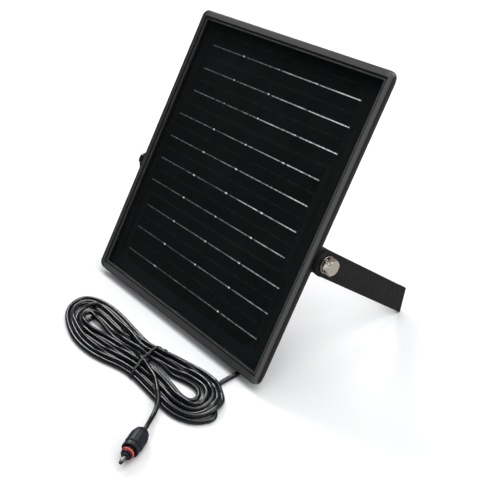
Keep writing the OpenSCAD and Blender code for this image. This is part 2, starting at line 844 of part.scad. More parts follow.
module plug_body() {
    color("#2d3032") at_plug() difference() {
        union() {
            rod_x(-0.6, collar_start + 2, core_r - 0.8);
            rod_x(collar_start + 2, ring_x - 0.85, core_r);
            rod_x(ring_x - 0.85, ring_x + 0.85, ring_r - 0.02);
            rod_x(ring_x + 0.85, nose_end - 1.4, core_r);
            rod_x(nose_end - 1.4, nose_end, core_r - 1.1);
        }
        rod_x(-2, 2.6, cable_d / 2 + 0.05);
        rod_x(nose_end - 6, nose_end + 1, pin_root_r + 0.02);
    }
}

// Locking collar with a ribbed grip and an open, threaded front
module plug_collar() {
    color("#34383b") at_plug() difference() {
        union() {
            rod_x(collar_grip, collar_neck, collar_d / 2 - 0.3);
            rod_x(collar_neck - eps, collar_neck + 0.7, collar_d / 2 - 0.7);
            rod_x(collar_neck + 0.7 - eps, collar_end, collar_d / 2 - 0.25);
            translate([collar_start, 0, 0]) rotate([0, 90, 0])
                cylinder(r1 = collar_d / 2 - 2.2, r2 = collar_d / 2 - 1, h = 1.4 + eps);
            translate([collar_start + 1.4, 0, 0]) rotate([0, 90, 0])
                cylinder(r1 = collar_d / 2 - 1, r2 = collar_d / 2 - 0.3, h = collar_grip - 1.4 + eps);
            for (k = [0:11]) rotate([k * 30, 0, 0])
                translate([collar_grip + 0.3, -0.7, collar_d / 2 - 0.7])
                    cube([collar_neck - collar_grip - 0.6, 1.4, 0.7]);
        }
        rod_x(collar_start - 1, collar_start + 3, core_r - 0.74);
        rod_x(collar_start + 1.95, collar_end + 1, core_r + 0.06);
        rod_x(collar_grip + 4, collar_end + 1, core_r + 0.5);
    }
}

module plug_oring() {
    color("#c8321e") at_plug() translate([ring_x, 0, 0]) rotate([0, 90, 0])
        rotate_extrude($fn = 40) translate([ring_r + ring_t / 2, 0]) circle(r = ring_t / 2, $fn = 20);
}

module plug_barrel() {
    color("#aeb1b4") at_plug() difference() {
        union() {
            rod_x(nose_end - 5.5, nose_end + 0.1, pin_root_r);
            rod_x(nose_end + 0.05, pin_end, pin_d / 2);
        }
        rod_x(nose_end - 6, pin_end + 1, pin_d / 2 - 0.45);
    }
}

module plug_tip() {
    color("#161616") at_plug() difference() {
        union() {
            rod_x(nose_end - 5, pin_end + 0.5, pin_d / 2 - 0.47);
            rod_x(pin_end + 0.02, tip_end - 0.5, tip_r);
            translate([tip_end - 0.5 - eps, 0, 0]) rotate([0, 90, 0])
                cylinder(r1 = tip_r, r2 = tip_r - 0.5, h = 0.5);
        }
        rod_x(tip_end - 3, tip_end + 1, 0.35);
    }
}

front_frame();
rear_shell();
glass_gasket();
cover_glass();
encapsulant();
solar_cells();
cell_ribbons();
bus_ribbons();
back_sheet();
rear_seal();
lead_wires();
circuit_board();
blocking_diode();
housing_lid();
lid_gasket();
lid_screws();
cable_gland();
gland_locknut();
gland_seal();
panel_cable();
cable_tie();
pivot_inserts();
pivot_bushes();
tilt_bracket();
flat_washers();
spring_washers();
pivot_bolt_left();
pivot_bolt_right();
plug_body();
plug_collar();
plug_oring();
plug_barrel();
plug_tip();
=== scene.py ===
import json
import math

import bmesh
import bpy
import numpy as np
from mathutils import Matrix, Vector


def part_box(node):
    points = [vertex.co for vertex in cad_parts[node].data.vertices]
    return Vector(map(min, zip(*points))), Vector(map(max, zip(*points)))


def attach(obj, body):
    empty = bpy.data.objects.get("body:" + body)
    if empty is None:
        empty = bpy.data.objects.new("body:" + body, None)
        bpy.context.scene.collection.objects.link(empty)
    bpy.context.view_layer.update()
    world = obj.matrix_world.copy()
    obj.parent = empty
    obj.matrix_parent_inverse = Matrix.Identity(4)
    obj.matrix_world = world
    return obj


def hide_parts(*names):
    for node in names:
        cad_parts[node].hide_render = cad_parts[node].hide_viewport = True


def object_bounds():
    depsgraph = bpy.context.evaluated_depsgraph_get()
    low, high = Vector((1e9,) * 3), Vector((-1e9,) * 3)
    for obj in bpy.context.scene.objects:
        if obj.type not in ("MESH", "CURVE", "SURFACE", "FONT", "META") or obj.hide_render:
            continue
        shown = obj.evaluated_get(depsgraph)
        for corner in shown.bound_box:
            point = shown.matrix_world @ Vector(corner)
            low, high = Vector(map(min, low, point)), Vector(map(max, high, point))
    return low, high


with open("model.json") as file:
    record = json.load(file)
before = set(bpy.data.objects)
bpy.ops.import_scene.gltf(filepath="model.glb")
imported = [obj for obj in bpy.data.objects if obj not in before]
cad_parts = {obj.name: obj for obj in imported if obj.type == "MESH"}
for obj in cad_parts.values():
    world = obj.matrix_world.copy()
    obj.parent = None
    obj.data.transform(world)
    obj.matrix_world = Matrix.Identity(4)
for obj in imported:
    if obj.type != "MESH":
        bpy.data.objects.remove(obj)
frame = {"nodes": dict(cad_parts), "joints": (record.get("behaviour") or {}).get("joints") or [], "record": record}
bpy.context.view_layer.update()
CAD_LOW, CAD_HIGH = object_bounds()

MM = 0.001
NODES = frame["nodes"]
JOINTS = {j["name"]: j for j in frame["joints"]}

# ---------- where the panel is ----------

LEAN = math.radians(31)             # how far the panel leans back from upright
PIVOT_UP = 89 * MM                  # the pivot above the lower edge, along the panel
PIVOT_BACK = 10 * MM                # and behind its front face
PANEL_W = 188                       # mm
PANEL_H = 214
ROW_LOW = (15.5, 70.9, 145.3)       # lower edges of the three rows of cells, mm up the panel
ROW_RIBBONS = (3, 4, 3)             # how many ribbons cross each row
RIBBON_PITCH = 18.2                 # mm
CELL_PITCH = 37.0                   # from one cell to the next along a ribbon
ROW_EDGE = 0.4                      # how far below its first cell a row is taken to begin

UP_PANEL = Vector((0, math.sin(LEAN), math.cos(LEAN)))
OUT_OF_GLASS = Vector((0, -math.cos(LEAN), math.sin(LEAN)))
PIVOT = Vector(JOINTS["bracket_tilt"]["pos_m"])
PANEL = PIVOT - UP_PANEL * PIVOT_UP + OUT_OF_GLASS * PIVOT_BACK
PANEL.x = 0
GROUND = CAD_LOW.z
EDGE = Vector((0, PANEL.y, GROUND))  # on the ground under the middle of the lower front edge


def on_panel(x, y, z):
    """A point in the shared frame, from mm across, up and out of the panel's front face."""
    return PANEL + Vector((x, 0, 0)) * MM + UP_PANEL * (y * MM) + OUT_OF_GLASS * (z * MM)


# ---------- node trees ----------

class Tree:
    """A material's node tree, with short calls to add nodes and join them."""

    def __init__(self, name):
        self.mat = bpy.data.materials.new(name)
        self.mat.use_nodes = True
        self.tree = self.mat.node_tree
        self.tree.nodes.clear()
        self.out = self.node("OutputMaterial")

    def node(self, kind, **settings):
        n = self.tree.nodes.new("ShaderNode" + kind)
        for key, value in settings.items():
            setattr(n, key, value)
        return n

    def put(self, socket, value):
        if isinstance(value, bpy.types.NodeSocket):
            self.tree.links.new(value, socket)
        elif isinstance(value, (tuple, list)) and len(value) == 3 and len(socket.default_value) == 4:
            socket.default_value = (*value, 1)
        else:
            socket.default_value = value

    def math(self, op, a, b=0.0, clamp=False):
        n = self.node("Math", operation=op, use_clamp=clamp)
        for socket, value in zip(n.inputs, (a, b)):
            self.put(socket, value)
        return n.outputs[0]

    def span(self, value, low, high, to_low=0.0, to_high=1.0):
        n = self.node("MapRange")
        for socket, v in zip(n.inputs, (value, low, high, to_low, to_high)):
            self.put(socket, v)
        return n.outputs[0]

    def mix(self, amount, a, b):
        n = self.node("Mix", data_type="RGBA")
        self.put(n.inputs[0], amount)
        self.put(n.inputs[6], a)
        self.put(n.inputs[7], b)
        return n.outputs[2]

    def noise(self, scale, detail=3.0, vector=None):
        n = self.node("TexNoise")
        n.inputs["Scale"].default_value = scale
        n.inputs["Detail"].default_value = detail
        n.inputs["Roughness"].default_value = 0.5
        self.put(n.inputs["Vector"], vector if vector is not None else self.place())
        return n.outputs["Fac"]

    def place(self):
        if not hasattr(self, "_place"):
            self._place = self.node("TexCoord").outputs["Object"]
        return self._place

    def mapped(self, rotation=(0, 0, 0), scale=(1, 1, 1), location=(0, 0, 0)):
        n = self.node("Mapping")
        self.put(n.inputs["Vector"], self.place())
        n.inputs["Rotation"].default_value = rotation
        n.inputs["Scale"].default_value = scale
        n.inputs["Location"].default_value = location
        return n.outputs[0]

    def bump(self, height, distance, normal=None):
        n = self.node("Bump")
        n.inputs["Strength"].default_value = 1.0
        n.inputs["Distance"].default_value = distance
        self.put(n.inputs["Height"], height)
        if normal is not None:
            self.put(n.inputs["Normal"], normal)
        return n.outputs[0]

    def finish(self, shader):
        self.tree.links.new(shader, self.out.inputs["Surface"])
        return self.mat


def shade(colour, factor):
    return tuple(c * factor for c in colour)


ROUGH_VARY = 0.08                   # how far the roughness strays either way
DUST = (0.32, 0.31, 0.29)


def soften_edges(t, tone, edge, edge_colour, edge_wear_and_shade, patch):
    """Rounds the edges in the shading and rubs them to the edge colour in patches: real wear where that colour is
    lighter, painted shade where it is dark.
    """
    bevel = t.node("Bevel", samples=4)
    bevel.inputs["Radius"].default_value = edge * MM
    normal = bevel.outputs[0]
    geometry = t.node("NewGeometry")
    dot = t.node("VectorMath", operation="DOT_PRODUCT")
    t.put(dot.inputs[0], normal)
    t.put(dot.inputs[1], geometry.outputs["Normal"])
    rubbed_and_shaded = t.span(dot.outputs["Value"], 0.995, 0.86)
    rubbed_and_shaded = t.math("MULTIPLY", rubbed_and_shaded, t.span(t.noise(patch * 5, 4.0), 0.4, 0.62), clamp=True)
    rubbed_and_shaded = t.math("MULTIPLY", rubbed_and_shaded, edge_wear_and_shade)
    return t.mix(rubbed_and_shaded, tone, edge_colour), normal


def scratches(t, roughness, normal, depth):
    """Fine lines cut slantwise across the skin, a little rougher than the rest."""
    lines = t.noise(260, 5.0, t.mapped((0.3, 0.5, 0.9), (1, 14, 3)))
    cut = t.span(lines, 0.60, 0.66)
    roughness = t.math("ADD", roughness, t.math("MULTIPLY", cut, 0.12), clamp=True)
    return roughness, t.bump(cut, -depth * MM, normal)


def brush_strokes(t, roughness, normal, along):
    """The turned or drawn lines of bare metal."""
    strokes = t.noise(420, 4.0, t.mapped((0, 0, 0), along))
    roughness = t.math("ADD", roughness, t.span(strokes, 0.3, 0.7, -0.06, 0.08), clamp=True)
    return roughness, t.bump(strokes, 0.02 * MM, normal)


def paint_gap_shade(t, tone, colour, gap):
    """Paints shade into the narrow places between neighbouring pieces, from ambient occlusion."""
    gap_shade = t.node("AmbientOcclusion", samples=16)
    gap_shade.inputs["Distance"].default_value = gap * MM
    return t.mix(t.span(gap_shade.outputs["AO"], 0.25, 0.85), shade(colour, 0.04), tone)


def surface(name, colour, rough, metal=0.0, vary=0.2, patch=90.0, grain=0.0, grain_mm=0.35,
            scratch=0.0, edge=0.0, edge_colour=None, edge_wear_and_shade=0.35, brushed=None, spec=0.5,
            dust=0.0, detail=None, gap=0.0):
    """A solid finish: colour and roughness vary in patches, the skin has a moulded or cast grain,
    edges are softened and rubbed to the edge colour (wear where it is lighter, painted shade where
    it is dark), fine scratches cross it and narrow gaps get painted shade."""
    t = Tree(name)
    patches = t.noise(patch, 4.0)
    fine = t.noise(patch * 9, 3.0)
    tone = t.mix(patches, shade(colour, 1 - vary), shade(colour, 1 + vary))
    tone = t.mix(t.span(fine, 0.35, 0.65, 0.0, 0.35), tone, shade(colour, 1 + vary * 1.6))
    uneven = t.noise(patch * 3, 3.0)
    roughness = t.span(uneven, 0.3, 0.7, rough - ROUGH_VARY, rough + ROUGH_VARY)
    normal = None
    # edge wear, and painted shade where the edge colour is dark
    if edge:
        tone, normal = soften_edges(t, tone, edge, edge_colour or shade(colour, 2.4), edge_wear_and_shade, patch)
    if grain:
        pebble = t.noise(1000 / grain_mm, 2.0)
        normal = t.bump(pebble, grain * MM, normal)
    if scratch:
        roughness, normal = scratches(t, roughness, normal, scratch)
    if brushed:
        roughness, normal = brush_strokes(t, roughness, normal, brushed)
    if dust:
        specks = t.math("MULTIPLY", t.span(t.noise(900, 2.0), 0.66, 0.74), t.span(patches, 0.45, 0.7))
        tone = t.mix(t.math("MULTIPLY", specks, dust), tone, DUST)
    # the detail may paint light and shade on the surface, as rim_bands does on the rim
    if detail:
        tone, normal = detail(t, tone, normal)
    # painted shade in the narrow gaps between pieces
    if gap:
        tone = paint_gap_shade(t, tone, colour, gap)
    p = t.node("BsdfPrincipled")
    t.put(p.inputs["Base Color"], tone)
    t.put(p.inputs["Roughness"], roughness)
    p.inputs["Metallic"].default_value = metal
    p.inputs["Specular IOR Level"].default_value = spec
    if normal is not None:
        t.put(p.inputs["Normal"], normal)
    return t.finish(p.outputs[0])


def panel_place(t):
    """x across and y up the panel in mm, as two sockets."""
    m = t.mapped((-(math.pi / 2 - LEAN), 0, 0), (1, 1, 1))
    s = t.node("SeparateXYZ")
    t.put(s.inputs[0], m)
    low = Matrix.Rotation(-(math.pi / 2 - LEAN), 3, "X") @ PANEL
    x = t.math("MULTIPLY", s.outputs[0], 1 / MM)
    y = t.math("MULTIPLY", t.math("SUBTRACT", s.outputs[1], low.y), 1 / MM)
    return x, y, m


def line_mask(t, value, pitch, offset, half):
    """1 on thin lines every pitch, 0 between them."""
    place = t.math("DIVIDE", t.math("SUBTRACT", value, offset), pitch)
    near = t.math("ABSOLUTE", t.math("SUBTRACT", t.math("FRACT", t.math("ADD", place, 0.5)), 0.5))
    return t.span(near, half / pitch, 0.4 * half / pitch)


def between(t, value, low, high, blur=0.12):
    """1 where the value lies between the two, with soft ends."""
    rise = t.span(value, low - blur, low + blur)
    return t.math("MULTIPLY", rise, t.span(value, high - blur, high + blur, 1.0, 0.0))


# Distances in from the panel's outer edge, mm
RIM_EDGE = (0.5, 1.0)
RIM_FACE = (1.0, 4.4)
RIM_STEP = (4.55, 5.35)
RIM_BEAD = (5.9, 6.45)
RIM_FOOT = (6.6, 7.2)
# painted shade colour for the rim's outer edge and its step
RIM_PAINTED_SHADE = (0.006, 0.006, 0.006)


def rim_bands(t, tone, normal):
    """Painted light and shade on the rim: a painted reflection lightens its face, less near the left side and more
    near the right, painted shade darkens its outer edge, its step and the foot of the lip beside the glass, and a
    painted highlight lies in patches on the fine bead. Bumps round the face and raise the bead.
    """
    x, y, flat = panel_place(t)
    side = t.math("SUBTRACT", PANEL_W / 2, t.math("ABSOLUTE", x))
    rise = t.math("MINIMUM", y, t.math("SUBTRACT", PANEL_H, y))
    edge = t.math("MINIMUM", side, rise)
    # painted reflection: the rim's face is lightened, much less near the left side
    face = t.math("MULTIPLY", between(t, edge, *RIM_FACE), t.span(x, -90, -84, 0.15, 0.85))
    tone = t.mix(face, tone, (0.080, 0.081, 0.082))
    # painted highlight: the right-hand side of the rim's face is lighter still
    tone = t.mix(t.math("MULTIPLY", face, t.span(x, 86, 90, 0.0, 0.75)), tone, (0.15, 0.15, 0.15))
    # painted shade along the rim's outer edge
    tone = t.mix(t.span(edge, *RIM_EDGE, 1.0, 0.0), tone, RIM_PAINTED_SHADE)
    # painted shade in the rim's step
    tone = t.mix(between(t, edge, *RIM_STEP), tone, RIM_PAINTED_SHADE)
    # painted highlight along the fine bead beside the glass, broken into patches
    bead_highlight_patches = t.span(t.noise(160, 3.0, flat), 0.32, 0.6, 0.35, 1.0)
    bead = between(t, edge, *RIM_BEAD)
    tone = t.mix(t.math("MULTIPLY", bead, bead_highlight_patches), tone, (0.17, 0.172, 0.174))
    # painted shade at the foot of the lip beside the glass
    tone = t.mix(between(t, edge, *RIM_FOOT), tone, (0.012, 0.012, 0.012))
    normal = t.bump(t.span(edge, 0.0, 4.5), 0.9 * MM, normal)
    return tone, t.bump(bead, 0.15 * MM, normal)


def row_height(t, y):
    """Height up the panel with the gaps between the rows of cells taken out."""
    height = y
    for below, low, ribbons in zip(ROW_LOW, ROW_LOW[1:], ROW_RIBBONS):
        gap = low - below - ribbons * RIBBON_PITCH
        above = t.math("GREATER_THAN", y, low - ROW_EDGE)
        height = t.math("SUBTRACT", height, t.math("MULTIPLY", above, gap))
    return height


def silicon_material():
    """Monocrystalline cell: near black under its coat, with printed fingers and fine print lines."""
    t = Tree("silicon")
    x, y, flat = panel_place(t)
    cloud = t.noise(45, 4.0, flat)
    tone = t.mix(cloud, (0.0035, 0.0037, 0.0042), (0.0075, 0.0078, 0.0085))
    speckle = t.noise(1400, 2.0, flat)
    tone = t.mix(t.span(speckle, 0.6, 0.8, 0.0, 0.5), tone, (0.012, 0.012, 0.012))
    fingers = line_mask(t, x, 1.36, 0.3, 0.06)
    tone = t.mix(t.math("MULTIPLY", fingers, 0.35), tone, (0.055, 0.056, 0.058))
    middle = line_mask(t, row_height(t, y), RIBBON_PITCH, ROW_LOW[0], 0.45)
    broken = t.span(t.noise(260, 2.0, flat), 0.38, 0.6)
    tone = t.mix(t.math("MULTIPLY", t.math("MULTIPLY", middle, broken), 0.8), tone, (0.05, 0.05, 0.05))
    p = t.node("BsdfPrincipled")
    t.put(p.inputs["Base Color"], tone)
    t.put(p.inputs["Roughness"], t.span(cloud, 0.3, 0.7, 0.34, 0.5))
    p.inputs["Specular IOR Level"].default_value = 0.18
    t.put(p.inputs["Normal"], t.bump(speckle, 0.004 * MM))
    return t.finish(p.outputs[0])


def ribbon_material():
    """Tinned copper with painted light: a painted highlight towards each ribbon's right-hand end and up the panel,
    painted glints on the solder beads and in dots near the cell gaps, glowing a little through emission, painted
    shade on the lower rows and on the ribbons' flanks, and dark breaks at the cell gaps.
    """
    t = Tree("tinned_copper")
    x, y, flat = panel_place(t)
    beads = t.noise(640, 3.0, flat)
    waves = t.noise(60, 3.0, flat)
    chance = t.noise(36, 1.0, t.mapped((0.4, 0.1, 0), (1, 1, 1), (3, 5, 7)))
    gap_place = t.math("DIVIDE", t.math("ADD", x, t.span(waves, 0.3, 0.7, -1.5, 1.5)), CELL_PITCH)
    past_gap = t.math("SUBTRACT", t.math("FRACT", t.math("ADD", gap_place, 0.5)), 0.5)
    past_gap = t.math("MULTIPLY", past_gap, CELL_PITCH)
    inner = t.math("LESS_THAN", t.math("ABSOLUTE", x), 60)
    # painted highlight, brighter towards the ribbons' right-hand ends and up the panel
    right = t.span(t.math("ADD", x, t.span(waves, 0.3, 0.7, -30, 30)), -30, 66, 0.0, 1.0)
    right = t.math("MULTIPLY", right, t.span(y, 10, 130, 0.35, 1.0))
    # painted glints on the solder beads
    bead_highlight = t.span(beads, 0.36, 0.6, -0.12, 0.42)
    shine = t.math("ADD", t.math("MULTIPLY", right, 0.7), bead_highlight, clamp=True)
    # painted shade on the lower rows
    lower_rows_shade = t.span(y, 10, 130, 0.62, 1.0)
    tone = t.mix(shine, (0.09, 0.094, 0.098), (0.92, 0.925, 0.92))
    tone = t.mix(lower_rows_shade, (0.02, 0.021, 0.022), tone)
    # bright painted glint dots near the cell gaps
    glint_dots = t.math("MULTIPLY", between(t, past_gap, -1.2, 0.6, 0.3), t.span(chance, 0.36, 0.46))
    glint_dots = t.math("MULTIPLY", glint_dots, inner)
    broken = t.math("MULTIPLY", between(t, past_gap, 1.4, 3.4, 0.3), t.span(chance, 0.42, 0.50))
    broken = t.math("MAXIMUM", broken, between(t, past_gap, 0.7, 1.5, 0.2))
    broken = t.math("MULTIPLY", broken, inner)
    tone = t.mix(t.math("MULTIPLY", broken, 0.92), tone, (0.02, 0.02, 0.02))
    tone = t.mix(glint_dots, tone, (1.0, 1.0, 0.98))
    # painted shade on each ribbon's flanks, leaving a lit middle strip, wider where the painted highlight is
    # stronger
    off = t.math("DIVIDE", t.math("SUBTRACT", row_height(t, y), ROW_LOW[0]), RIBBON_PITCH)
    off = t.math("ABSOLUTE", t.math("SUBTRACT", t.math("FRACT", off), 0.5))
    off = t.math("SUBTRACT", t.math("MULTIPLY", off, RIBBON_PITCH), t.span(shine, 0, 1, 0.08, 0.26))
    flank_shade = t.math("MULTIPLY", t.span(off, 0.0, 0.16), t.math("SUBTRACT", 1, glint_dots))
    tone = t.mix(t.math("MULTIPLY", flank_shade, 0.85), tone, (0.03, 0.03, 0.03))
    broken = t.math("MAXIMUM", broken, flank_shade)
    # the painted highlight and glint dots glow through emission, though the ribbons are no lamp
    glint = t.math("MULTIPLY", t.math("MAXIMUM", glint_dots, t.math("MULTIPLY", shine, shine)), 0.5)
    p = t.node("BsdfPrincipled")
    t.put(p.inputs["Base Color"], tone)
    p.inputs["Metallic"].default_value = 0.15
    t.put(p.inputs["Roughness"], t.span(beads, 0.3, 0.7, 0.42, 0.28))
    t.put(p.inputs["Emission Color"], (1.0, 1.0, 0.98))
    t.put(p.inputs["Emission Strength"], t.math("MULTIPLY", glint, t.math("SUBTRACT", 1, broken)))
    t.put(p.inputs["Normal"], t.bump(beads, 0.12 * MM))
    return t.finish(p.outputs[0])


def glass_material():
    """Clear tempered glass with faint smears. Light passes straight through to what is under it."""
    t = Tree("glass")
    smear = t.noise(38, 5.0, t.mapped((0.4, 0.2, 0.1), (1, 3, 1)))
    g = t.node("BsdfGlass")
    g.inputs["IOR"].default_value = 1.5
    t.put(g.inputs["Color"], (0.93, 0.955, 0.95))
    t.put(g.inputs["Roughness"], t.span(smear, 0.45, 0.75, 0.0, 0.035))
    t.put(g.inputs["Normal"], t.bump(t.noise(60, 2.0), 0.004 * MM))
    clear = t.node("BsdfTransparent")
    t.put(clear.inputs["Color"], (0.90, 0.92, 0.915))
    path = t.node("LightPath")
    m = t.node("MixShader")
    t.put(m.inputs[0], path.outputs["Is Shadow Ray"])
    t.put(m.inputs[1], g.outputs[0])
    t.put(m.inputs[2], clear.outputs[0])
    return t.finish(m.outputs[0])


def bedding_material():
    """Clear bedding over a black back: dark, slightly blue towards the lower edge."""
    t = Tree("bedding")
    x, y, flat = panel_place(t)
    cloud = t.noise(30, 4.0, flat)
    low = t.span(y, 10, 90, 1.0, 0.0)
    tone = t.mix(low, (0.0105, 0.0108, 0.011), (0.0115, 0.0145, 0.0165))
    tone = t.mix(t.span(cloud, 0.4, 0.7, 0.0, 0.5), tone, (0.011, 0.012, 0.0125))
    weave = t.math("MAXIMUM", line_mask(t, x, 0.9, 0, 0.1), line_mask(t, y, 0.9, 0, 0.1))
    tone = t.mix(t.math("MULTIPLY", weave, 0.25), tone, (0.02, 0.02, 0.02))
    p = t.node("BsdfPrincipled")
    t.put(p.inputs["Base Color"], tone)
    t.put(p.inputs["Roughness"], t.span(cloud, 0.3, 0.7, 0.35, 0.55))
    p.inputs["Specular IOR Level"].default_value = 0.2
    t.put(p.inputs["Normal"], t.bump(t.noise(700, 2.0, flat), 0.02 * MM))
    return t.finish(p.outputs[0])


def cable_material():
    """Semi-gloss extruded jacket with faint drawing lines, scuffs and dust."""
    t = Tree("cable_pvc")
    uv = t.node("UVMap").outputs[0]
    s = t.node("SeparateXYZ")
    t.put(s.inputs[0], uv)
    around = t.node("CombineXYZ")
    t.put(around.inputs[0], t.math("MULTIPLY", s.outputs[0], 0.02))
    t.put(around.inputs[1], t.math("MULTIPLY", s.outputs[1], 26))
    draw = t.noise(1.0, 3.0, around.outputs[0])
    patches = t.noise(120, 4.0)
    tone = t.mix(patches, (0.0035, 0.0042, 0.0054), (0.0075, 0.0088, 0.0105))
    scuff = t.span(t.noise(700, 4.0), 0.63, 0.70)
    tone = t.mix(t.math("MULTIPLY", scuff, 0.12), tone, (0.06, 0.063, 0.068))
    normal = t.bump(draw, 0.005 * MM)
    normal = t.bump(t.noise(300, 2.0), 0.003 * MM, normal)
    p = t.node("BsdfPrincipled")
    t.put(p.inputs["Base Color"], tone)
    t.put(p.inputs["Roughness"], t.span(t.noise(110, 3.0), 0.3, 0.7, 0.16, 0.27))
    p.inputs["Specular IOR Level"].default_value = 0.55
    p.inputs["IOR"].default_value = 1.5
    t.put(p.inputs["Normal"], normal)
    return t.finish(p.outputs[0])


def make_materials():
    black = (0.030, 0.031, 0.032)
    return {
        # frame_plastic's dark edge colour paints shade along the frame's edges
        "frame_plastic": surface("frame_plastic", (0.024, 0.025, 0.026), 0.48, grain=0.018,
                                 edge=0.6, edge_colour=(0.006, 0.006, 0.006), edge_wear_and_shade=1.0,
                                 scratch=0.006, dust=0.25, detail=rim_bands),
        "shell_plastic": surface("shell_plastic", (0.024, 0.025, 0.026), 0.56, grain=0.03,
                                 edge=0.4, edge_wear_and_shade=0.3, scratch=0.006, dust=0.3),
        "black_rubber": surface("black_rubber", (0.05, 0.052, 0.054), 0.62, grain=0.02, grain_mm=0.5,
                                edge=0.1, edge_wear_and_shade=0.2, dust=0.5),
        "glass": glass_material(),
        "bedding": bedding_material(),
        "silicon": silicon_material(),
        "tinned_copper": ribbon_material(),
        "coated_copper": surface("coated_copper", (0.0065, 0.0068, 0.0072), 0.5, vary=0.3,
                                 grain=0.01, spec=0.2),
        "white_film": surface("white_film", (0.72, 0.73, 0.72), 0.4, vary=0.06, grain=0.02,
                              grain_mm=0.8, dust=0.3),
        "silicone": surface("silicone", (0.40, 0.41, 0.41), 0.45, vary=0.1, grain=0.03, grain_mm=0.9),
        "wire_sleeve": surface("wire_sleeve", (0.28, 0.03, 0.025), 0.3, grain=0.008, scratch=0.003),
        "board": surface("board", (0.02, 0.13, 0.05), 0.32, vary=0.25, grain=0.02, grain_mm=0.6,
                         edge=0.1, edge_colour=(0.45, 0.40, 0.22)),
        "diode_body": surface("diode_body", black, 0.35, grain=0.01, edge=0.1),
        "zinc_steel": surface("zinc_steel", (0.62, 0.63, 0.65), 0.3, metal=1.0, vary=0.12,
                              patch=300, scratch=0.004, edge=0.15, edge_wear_and_shade=0.5),
        "gland_plastic": surface("gland_plastic", (0.018, 0.0185, 0.020), 0.42, grain=0.012,
                                 edge=0.25, edge_wear_and_shade=0.3, dust=0.2),
        "cable_pvc": cable_material(),
        "brass": surface("brass", (0.58, 0.42, 0.16), 0.3, metal=1.0, vary=0.12, patch=250,
                         brushed=(40, 1, 1)),
        "nylon": surface("nylon", (0.70, 0.67, 0.58), 0.38, vary=0.08, grain=0.01, edge=0.15),
        "black_paint": surface("black_paint", (0.0075, 0.0077, 0.0082), 0.52, vary=0.12, grain=0.022,
                               grain_mm=0.28, edge=0.35, edge_colour=(0.008, 0.008, 0.008), edge_wear_and_shade=1.0,
                               scratch=0.004, dust=0.1, spec=0.2),
        # nickel_steel's gap setting paints shade into narrow gaps, such as between the washers
        "nickel_steel": surface("nickel_steel", (0.80, 0.72, 0.63), 0.18, metal=1.0, vary=0.12,
                                patch=420, edge=0.22, edge_wear_and_shade=0.7,
                                edge_colour=(0.95, 0.93, 0.89), gap=2.6),
        "plug_plastic": surface("plug_plastic", (0.0085, 0.011, 0.016), 0.36, vary=0.2, grain=0.012,
                                edge=0.3, edge_wear_and_shade=0.35, dust=0.1, spec=0.3),
        "red_silicone": surface("red_silicone", (0.74, 0.075, 0.045), 0.38, vary=0.12, patch=500,
                                grain=0.01, grain_mm=0.4),
        "contact": surface("contact", (0.22, 0.235, 0.225), 0.42, metal=1.0, vary=0.15, patch=600,
                           scratch=0.003),
    }


def paint_nodes(materials):
    """Every CAD node takes the finish of the slot the record gives it."""
    for sub in frame["record"]["subparts"]:
        o = NODES[sub["node"]]
        o.data.materials.clear()
        o.data.materials.append(materials[sub["material_slot"]])


# ---------- meshes ----------

def add_mesh(name, verts, faces, material, body):
    me = bpy.data.meshes.new(name)
    me.from_pydata([tuple(v) for v in verts], [], faces)
    me.validate()
    me.update()
    me.polygons.foreach_set("use_smooth", [True] * len(me.polygons))
    me.materials.append(material)
    o = bpy.data.objects.new(name, me)
    bpy.context.scene.collection.objects.link(o)
    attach(o, body)
    return o


def resample(points, step):
    """Even points along a Catmull-Rom curve through the given ones."""
    p = np.asarray(points, float)
    ends = np.vstack([2 * p[0] - p[1], p, 2 * p[-1] - p[-2]])
    t = np.linspace(0, 1, 24, endpoint=False)[:, None]
    dense = []
    for a, b, c, d in zip(ends, ends[1:], ends[2:], ends[3:]):
        dense.append(0.5 * (2 * b + (c - a) * t + (2 * a - 5 * b + 4 * c - d) * t ** 2
                            + (3 * b - a - 3 * c + d) * t ** 3))
    dense = np.vstack(dense + [p[-1:]])
    along = np.r_[0, np.cumsum(np.linalg.norm(np.diff(dense, axis=0), axis=1))]
    n = max(2, int(round(along[-1] / step)))
    even = np.linspace(0, along[-1], n + 1)
    return np.column_stack([np.interp(even, along, dense[:, i]) for i in range(3)])


def smooth_path(p, passes, keep=2):
    p = p.copy()
    for _ in range(passes):
        q = p.copy()
        q[1:-1] = 0.25 * p[:-2] + 0.5 * p[1:-1] + 0.25 * p[2:]
        q[:keep], q[-keep:] = p[:keep], p[-keep:]
        p = q
    return p


